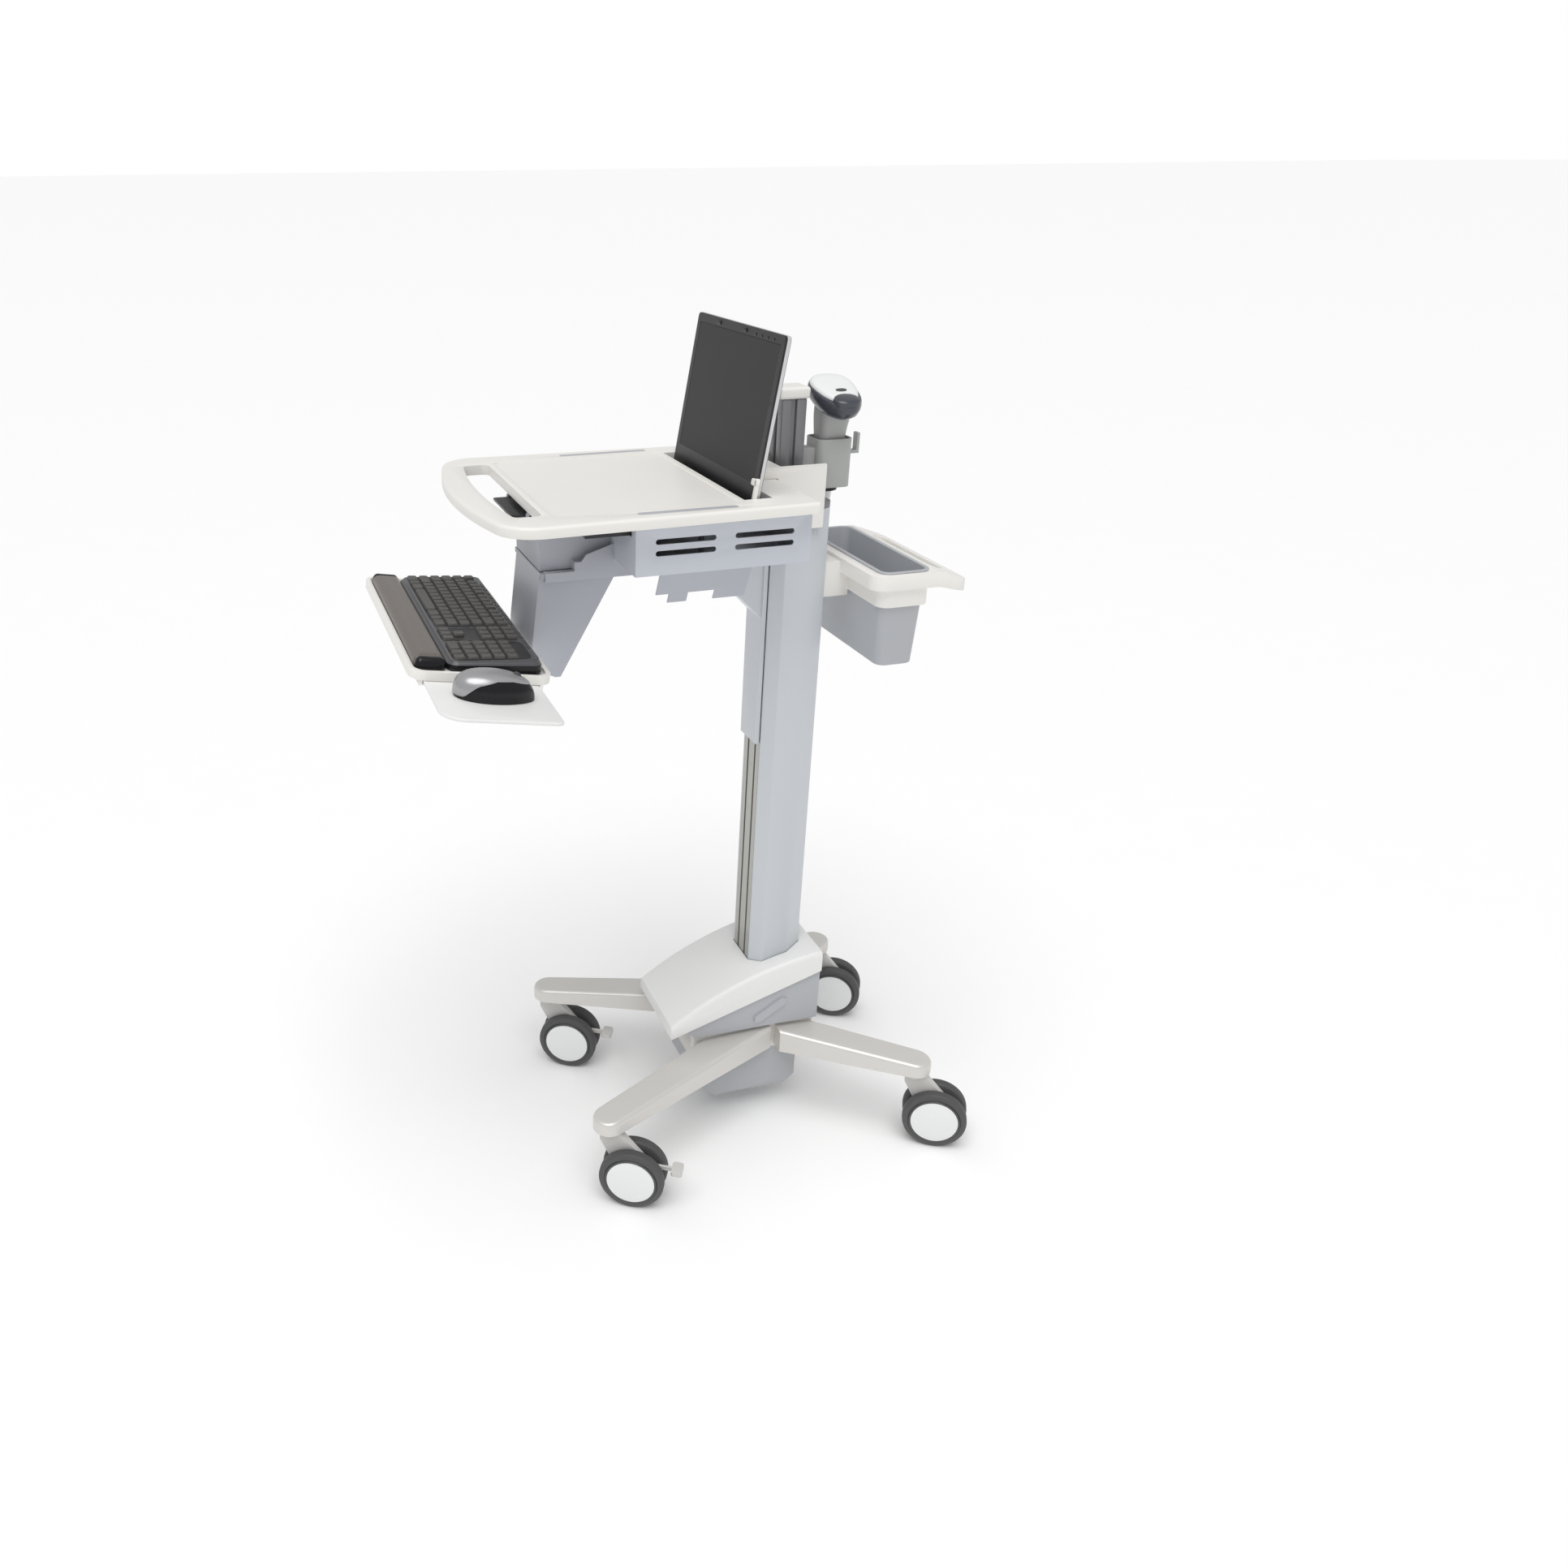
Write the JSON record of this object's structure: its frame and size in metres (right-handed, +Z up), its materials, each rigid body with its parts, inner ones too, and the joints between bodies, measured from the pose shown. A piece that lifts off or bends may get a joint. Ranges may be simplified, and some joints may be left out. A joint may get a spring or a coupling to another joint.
{
  "type": "medication cart",
  "caption": "Height-adjustable medication cart: four-leg caster base, lift column, worktop with laptop bay, tilting keyboard tray, mouse shelf, scanner holder and supply bin.",
  "frame": {"origin": "on the floor, under the middle of the cart's bounding box as parked", "axes": "+Z up; the user stands on the -Y side facing +Y; the mouse shelf opens towards +X"},
  "size_m": [0.611, 0.9764, 1.4307],
  "materials": {
    "white_plastic": "fine texture",
    "pale_paint": "satin powder coat",
    "head_grey": "satin powder coat",
    "body_grey": "fine texture",
    "cast_legs": "satin cast",
    "rail_grey": "anodised",
    "ballast_iron": "raw",
    "steel": "turned",
    "caster_housing": "moulded",
    "wheel_cover": "moulded",
    "tyre_rubber": "soft tread",
    "dark_plastic": "fine texture",
    "mouse_shell": "moulded",
    "scanner_shell": "moulded",
    "trigger_grey": "moulded"
  },
  "bodies": {
    "chassis": {"base_hub": "cast_legs", "caster_stems": "steel", "base_tub": "body_grey", "ballast": "ballast_iron", "base_hood": "white_plastic", "base_skirt": "body_grey", "base_grips": "body_grey", "column": "pale_paint", "column_rail": "rail_grey", "accessory_tower": "pale_paint", "tower_cap": "white_plastic", "scanner_holder": "scanner_shell", "bin_frame": "white_plastic", "leg_front_right": "cast_legs", "leg_front_left": "cast_legs", "leg_rear_right": "cast_legs", "leg_rear_left": "cast_legs"},
    "head": {"lift_carriage": "pale_paint", "laptop_bay": "head_grey", "worktop": "white_plastic", "worktop_inlays": "body_grey", "head_shroud": "white_plastic", "cable_wings": "head_grey", "slide_housing": "head_grey", "laptop_base": "dark_plastic"},
    "lid": {"laptop_lid": "dark_plastic"},
    "lever": {"lift_lever": "dark_plastic"},
    "arm": {"keyboard_arm": "head_grey", "tray_pivot_pin": "steel"},
    "tray": {"keyboard_tray": "white_plastic", "palm_rest": "dark_plastic", "keyboard_case": "dark_plastic", "keycaps": "dark_plastic"},
    "shelf": {"mouse_shelf": "white_plastic"},
    "mouse": {"mouse": "mouse_shell"},
    "scanner": {"scanner": "scanner_shell"},
    "trigger": {"scanner_trigger": "trigger_grey"},
    "bin": {"bin_tub": "body_grey"},
    "swivel_front_right": {"caster_fork_front_right": "caster_housing"},
    "wheel_front_right_outer": {"caster_wheel_front_right_outer": "wheel_cover", "caster_tyre_front_right_outer": "tyre_rubber"},
    "wheel_front_right_inner": {"caster_wheel_front_right_inner": "wheel_cover", "caster_tyre_front_right_inner": "tyre_rubber"},
    "pedal_front_right": {"brake_pedal_front_right": "caster_housing"},
    "swivel_front_left": {"caster_fork_front_left": "caster_housing"},
    "wheel_front_left_outer": {"caster_wheel_front_left_outer": "wheel_cover", "caster_tyre_front_left_outer": "tyre_rubber"},
    "wheel_front_left_inner": {"caster_wheel_front_left_inner": "wheel_cover", "caster_tyre_front_left_inner": "tyre_rubber"},
    "pedal_front_left": {"brake_pedal_front_left": "caster_housing"},
    "swivel_rear_right": {"caster_fork_rear_right": "caster_housing"},
    "wheel_rear_right_outer": {"caster_wheel_rear_right_outer": "wheel_cover", "caster_tyre_rear_right_outer": "tyre_rubber"},
    "wheel_rear_right_inner": {"caster_wheel_rear_right_inner": "wheel_cover", "caster_tyre_rear_right_inner": "tyre_rubber"},
    "swivel_rear_left": {"caster_fork_rear_left": "caster_housing"},
    "wheel_rear_left_outer": {"caster_wheel_rear_left_outer": "wheel_cover", "caster_tyre_rear_left_outer": "tyre_rubber"},
    "wheel_rear_left_inner": {"caster_wheel_rear_left_inner": "wheel_cover", "caster_tyre_rear_left_inner": "tyre_rubber"}
  },
  "joints": [
    {"name": "head_lift", "type": "slide", "parent": "chassis", "child": "head", "axis": [0, 0, 1], "range_m": [-0.38, 0.085]},
    {"name": "keyboard_slide", "type": "slide", "parent": "head", "child": "arm", "axis": [0, 1, 0], "range_m": [0, 0.12]},
    {"name": "tray_tilt", "type": "hinge", "parent": "arm", "child": "tray", "pos_m": [-0.06651, -0.28969, 0.966], "axis": [1, 0, 0], "range_deg": [-12, 12]},
    {"name": "mouse_shelf_slide", "type": "slide", "parent": "tray", "child": "shelf", "axis": [1, 0, 0], "range_m": [-0.015, 0]},
    {"name": "mouse_glide", "type": "slide", "parent": "shelf", "child": "mouse", "axis": [0, 0.9863, -0.165], "range_m": [-0.02, 0.02]},
    {"name": "lid_hinge", "type": "hinge", "parent": "head", "child": "lid", "pos_m": [-0.06651, 0.03131, 1.18], "axis": [-1, 0, 0], "range_deg": [-6, 8]},
    {"name": "lift_lever_pull", "type": "hinge", "parent": "head", "child": "lever", "pos_m": [-0.06651, -0.26969, 1.18], "axis": [-1, 0, 0], "range_deg": [0, 12], "stiffness_Nm_per_rad": 0.6, "springref_deg": -5.73},
    {"name": "swivel_front_right", "type": "hinge", "parent": "chassis", "child": "swivel_front_right", "pos_m": [0.13649, -0.18969, 0.146], "axis": [0, 0, 1], "continuous": true},
    {"name": "wheel_front_right_outer", "type": "hinge", "parent": "swivel_front_right", "child": "wheel_front_right_outer", "pos_m": [0.15849, -0.15159, 0.057], "axis": [0.866, -0.5, 0], "continuous": true},
    {"name": "wheel_front_right_inner", "type": "hinge", "parent": "swivel_front_right", "child": "wheel_front_right_inner", "pos_m": [0.15849, -0.15159, 0.057], "axis": [0.866, -0.5, 0], "continuous": true},
    {"name": "pedal_front_right", "type": "hinge", "parent": "swivel_front_right", "child": "pedal_front_right", "pos_m": [0.17349, -0.1256, 0.0765], "axis": [-0.866, 0.5, 0], "range_deg": [0, 12]},
    {"name": "swivel_front_left", "type": "hinge", "parent": "chassis", "child": "swivel_front_left", "pos_m": [-0.26951, -0.18969, 0.146], "axis": [0, 0, 1], "continuous": true},
    {"name": "wheel_front_left_outer", "type": "hinge", "parent": "swivel_front_left", "child": "wheel_front_left_outer", "pos_m": [-0.24751, -0.15159, 0.057], "axis": [0.866, -0.5, 0], "continuous": true},
    {"name": "wheel_front_left_inner", "type": "hinge", "parent": "swivel_front_left", "child": "wheel_front_left_inner", "pos_m": [-0.24751, -0.15159, 0.057], "axis": [0.866, -0.5, 0], "continuous": true},
    {"name": "pedal_front_left", "type": "hinge", "parent": "swivel_front_left", "child": "pedal_front_left", "pos_m": [-0.23251, -0.1256, 0.0765], "axis": [-0.866, 0.5, 0], "range_deg": [0, 12]},
    {"name": "swivel_rear_right", "type": "hinge", "parent": "chassis", "child": "swivel_rear_right", "pos_m": [0.14349, 0.38831, 0.146], "axis": [0, 0, 1], "continuous": true},
    {"name": "wheel_rear_right_outer", "type": "hinge", "parent": "swivel_rear_right", "child": "wheel_rear_right_outer", "pos_m": [0.16549, 0.42641, 0.057], "axis": [0.866, -0.5, 0], "continuous": true},
    {"name": "wheel_rear_right_inner", "type": "hinge", "parent": "swivel_rear_right", "child": "wheel_rear_right_inner", "pos_m": [0.16549, 0.42641, 0.057], "axis": [0.866, -0.5, 0], "continuous": true},
    {"name": "swivel_rear_left", "type": "hinge", "parent": "chassis", "child": "swivel_rear_left", "pos_m": [-0.27651, 0.38831, 0.146], "axis": [0, 0, 1], "continuous": true},
    {"name": "wheel_rear_left_outer", "type": "hinge", "parent": "swivel_rear_left", "child": "wheel_rear_left_outer", "pos_m": [-0.25451, 0.42641, 0.057], "axis": [0.866, -0.5, 0], "continuous": true},
    {"name": "wheel_rear_left_inner", "type": "hinge", "parent": "swivel_rear_left", "child": "wheel_rear_left_inner", "pos_m": [-0.25451, 0.42641, 0.057], "axis": [0.866, -0.5, 0], "continuous": true},
    {"name": "scanner_lift_out", "type": "slide", "parent": "chassis", "child": "scanner", "axis": [0, 0, 1], "range_m": [0, 0.13]},
    {"name": "scanner_trigger_push", "type": "slide", "parent": "scanner", "child": "trigger", "axis": [1, 0, 0], "range_m": [0, 0.003], "stiffness_N_per_m": 300, "springref_m": -0.002},
    {"name": "bin_lift_out", "type": "slide", "parent": "chassis", "child": "bin", "axis": [0, 0, 1], "range_m": [0, 0.15]}
  ]
}
